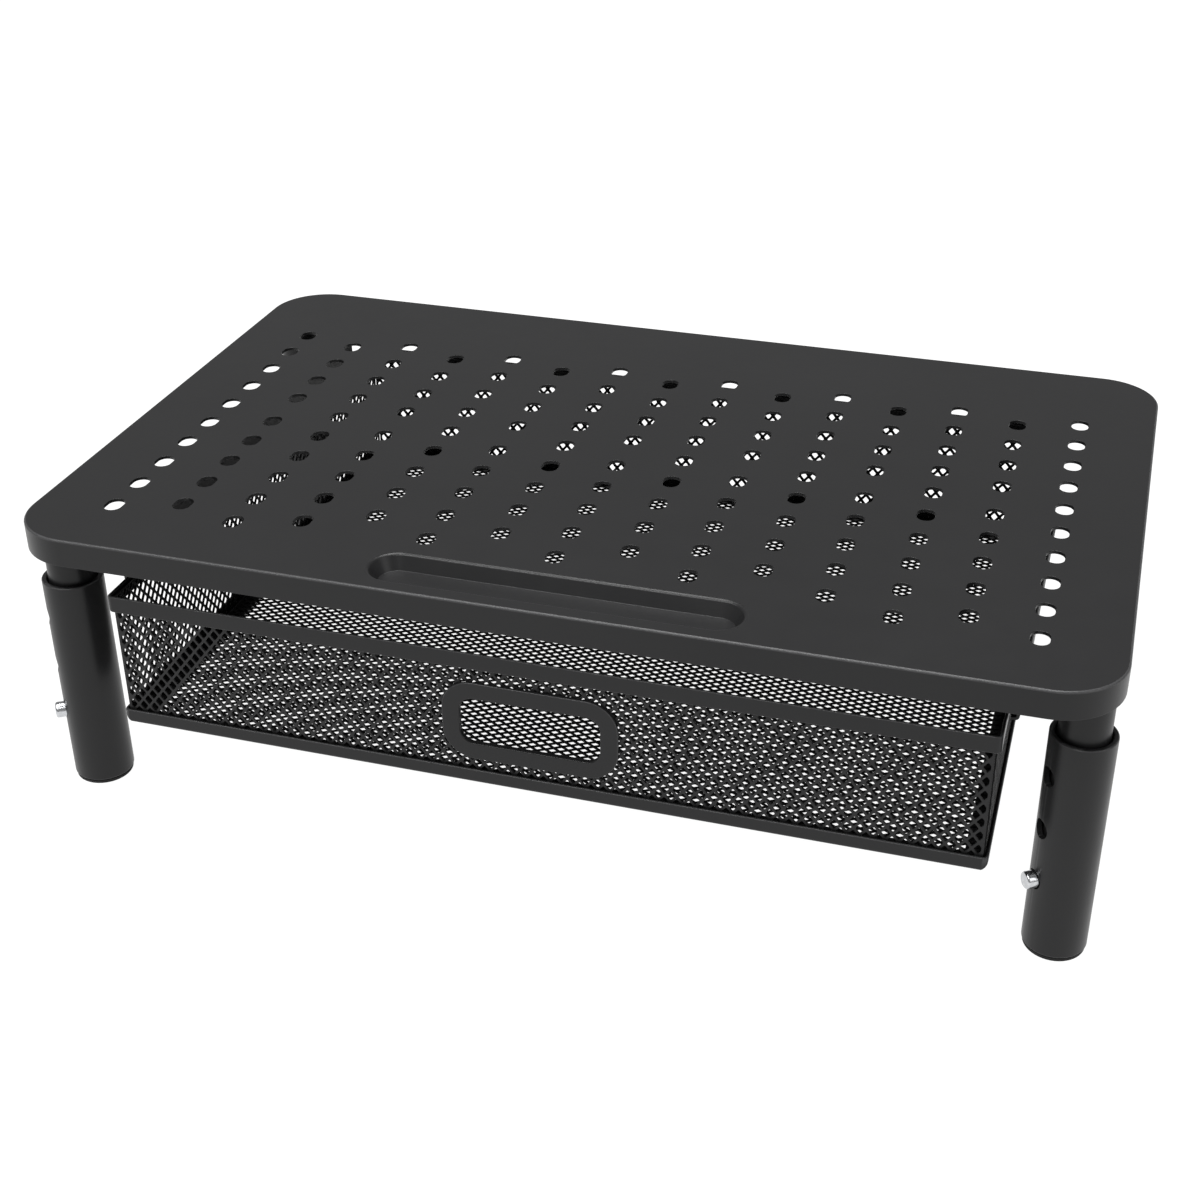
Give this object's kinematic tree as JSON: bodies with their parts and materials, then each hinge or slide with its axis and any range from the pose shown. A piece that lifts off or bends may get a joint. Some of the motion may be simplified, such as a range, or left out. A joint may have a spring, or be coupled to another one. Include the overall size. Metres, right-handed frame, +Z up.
{
  "type": "monitor riser stand",
  "caption": "Desk riser with a perforated pressed-steel top, a pen tray, four telescopic legs locked by snap buttons, and a mesh drawer on rails below.",
  "frame": {"origin": "on the surface that the stand rests on, under the middle of the top plate", "axes": "+X to the right along the top's length, +Y to the back, +Z up; the drawer opens towards -Y"},
  "size_m": [0.3724, 0.235, 0.11],
  "materials": {
    "powder_coat": "fine-textured satin black powder coat on sheet steel, tube and expanded metal",
    "bright_chrome": "polished chrome plate on the snap buttons",
    "zinc_steel": "plain zinc-plated steel",
    "spring_steel": "oiled spring steel strip",
    "foot_rubber": "matt black rubber"
  },
  "bodies": {
    "root": {"top_plate": "powder_coat", "drawer_rail_left": "powder_coat", "drawer_rail_right": "powder_coat", "weld_nut_front_left": "zinc_steel", "leg_stud_front_left": "zinc_steel", "inner_tube_front_left": "powder_coat", "v_spring_front_left": "spring_steel", "weld_nut_front_right": "zinc_steel", "leg_stud_front_right": "zinc_steel", "inner_tube_front_right": "powder_coat", "v_spring_front_right": "spring_steel", "weld_nut_rear_left": "zinc_steel", "leg_stud_rear_left": "zinc_steel", "inner_tube_rear_left": "powder_coat", "v_spring_rear_left": "spring_steel", "weld_nut_rear_right": "zinc_steel", "leg_stud_rear_right": "zinc_steel", "inner_tube_rear_right": "powder_coat", "v_spring_rear_right": "spring_steel"},
    "drawer": {"drawer_top_frame": "powder_coat", "drawer_bottom_frame": "powder_coat", "drawer_front_mesh": "powder_coat", "drawer_back_mesh": "powder_coat", "drawer_left_mesh": "powder_coat", "drawer_right_mesh": "powder_coat", "drawer_floor_mesh": "powder_coat", "drawer_handle_plate": "powder_coat", "drawer_runner_left": "powder_coat", "drawer_runner_right": "powder_coat"},
    "leg_front_left": {"outer_tube_front_left": "powder_coat", "rubber_foot_front_left": "foot_rubber"},
    "button_front_left": {"snap_button_front_left": "bright_chrome"},
    "leg_front_right": {"outer_tube_front_right": "powder_coat", "rubber_foot_front_right": "foot_rubber"},
    "button_front_right": {"snap_button_front_right": "bright_chrome"},
    "leg_rear_left": {"outer_tube_rear_left": "powder_coat", "rubber_foot_rear_left": "foot_rubber"},
    "button_rear_left": {"snap_button_rear_left": "bright_chrome"},
    "leg_rear_right": {"outer_tube_rear_right": "powder_coat", "rubber_foot_rear_right": "foot_rubber"},
    "button_rear_right": {"snap_button_rear_right": "bright_chrome"}
  },
  "joints": [
    {"name": "drawer_slide", "type": "slide", "parent": "root", "child": "drawer", "axis": [0, -1, 0], "range_m": [0, 0.15]},
    {"name": "leg_height_front_left", "type": "slide", "parent": "root", "child": "leg_front_left", "axis": [0, 0, -1], "range_m": [0, 0.04], "deforming": ["snap_button_front_left"]},
    {"name": "leg_height_front_right", "type": "slide", "parent": "root", "child": "leg_front_right", "axis": [0, 0, -1], "range_m": [0, 0.04], "deforming": ["snap_button_front_right"]},
    {"name": "leg_height_rear_left", "type": "slide", "parent": "root", "child": "leg_rear_left", "axis": [0, 0, -1], "range_m": [0, 0.04], "deforming": ["snap_button_rear_left"]},
    {"name": "leg_height_rear_right", "type": "slide", "parent": "root", "child": "leg_rear_right", "axis": [0, 0, -1], "range_m": [0, 0.04], "deforming": ["snap_button_rear_right"]},
    {"name": "button_press_front_left", "type": "slide", "parent": "root", "child": "button_front_left", "axis": [0.848, 0.5299, 0], "range_m": [0, 0.0053], "stiffness_N_per_m": 900, "springref_m": -0.002, "deforming": ["v_spring_front_left"]},
    {"name": "button_press_front_right", "type": "slide", "parent": "root", "child": "button_front_right", "axis": [0.848, 0.5299, 0], "range_m": [0, 0.0053], "stiffness_N_per_m": 900, "springref_m": -0.002, "deforming": ["v_spring_front_right"]},
    {"name": "button_press_rear_left", "type": "slide", "parent": "root", "child": "button_rear_left", "axis": [0.848, 0.5299, 0], "range_m": [0, 0.0053], "stiffness_N_per_m": 900, "springref_m": -0.002, "deforming": ["v_spring_rear_left"]},
    {"name": "button_press_rear_right", "type": "slide", "parent": "root", "child": "button_rear_right", "axis": [0.848, 0.5299, 0], "range_m": [0, 0.0053], "stiffness_N_per_m": 900, "springref_m": -0.002, "deforming": ["v_spring_rear_right"]}
  ]
}
